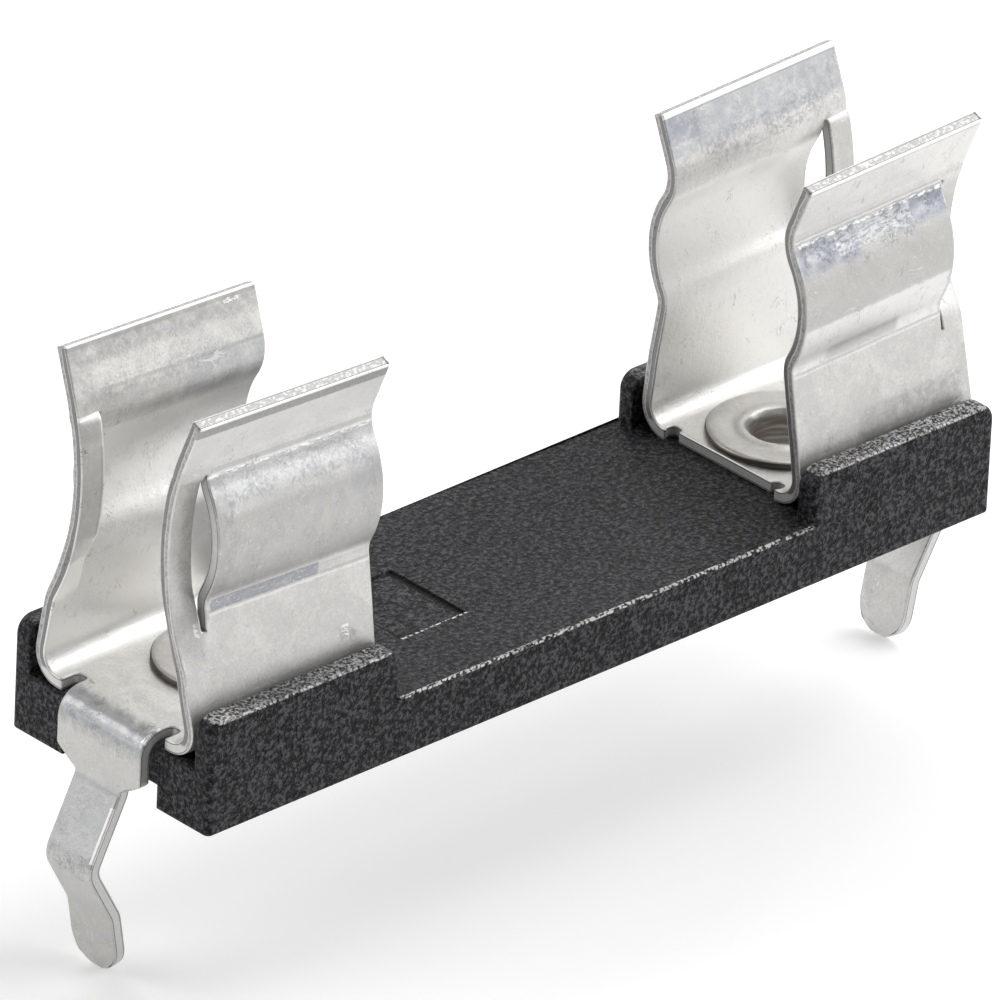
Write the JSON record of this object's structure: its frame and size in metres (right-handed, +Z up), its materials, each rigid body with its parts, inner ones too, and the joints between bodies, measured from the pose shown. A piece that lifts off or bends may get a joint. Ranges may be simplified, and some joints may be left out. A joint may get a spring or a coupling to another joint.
{
  "type": "fuse holder",
  "caption": "Open fuse holder for a circuit board: moulded base with a riveted spring clip at each end, cheeks that grip a cartridge fuse and kinked legs that snap into the board.",
  "frame": {"origin": "centre of the base's underside, in the plane of the circuit board's top", "axes": "+X along the base towards the right clip, +Y across it, +Z up from the board"},
  "size_m": [0.0258, 0.0064, 0.0141],
  "materials": {
    "moulding": "black moulded plastic with a fine eroded grain",
    "tinned_strip": "tin-plated spring strip, pale and matt, rubbed on the bends",
    "rivet_metal": "tin-plated hollow rivet, satin"
  },
  "bodies": {
    "root": {"base": "moulding", "left_clip": "tinned_strip", "right_clip": "tinned_strip", "left_rivet": "rivet_metal", "right_rivet": "rivet_metal"}
  },
  "joints": []
}
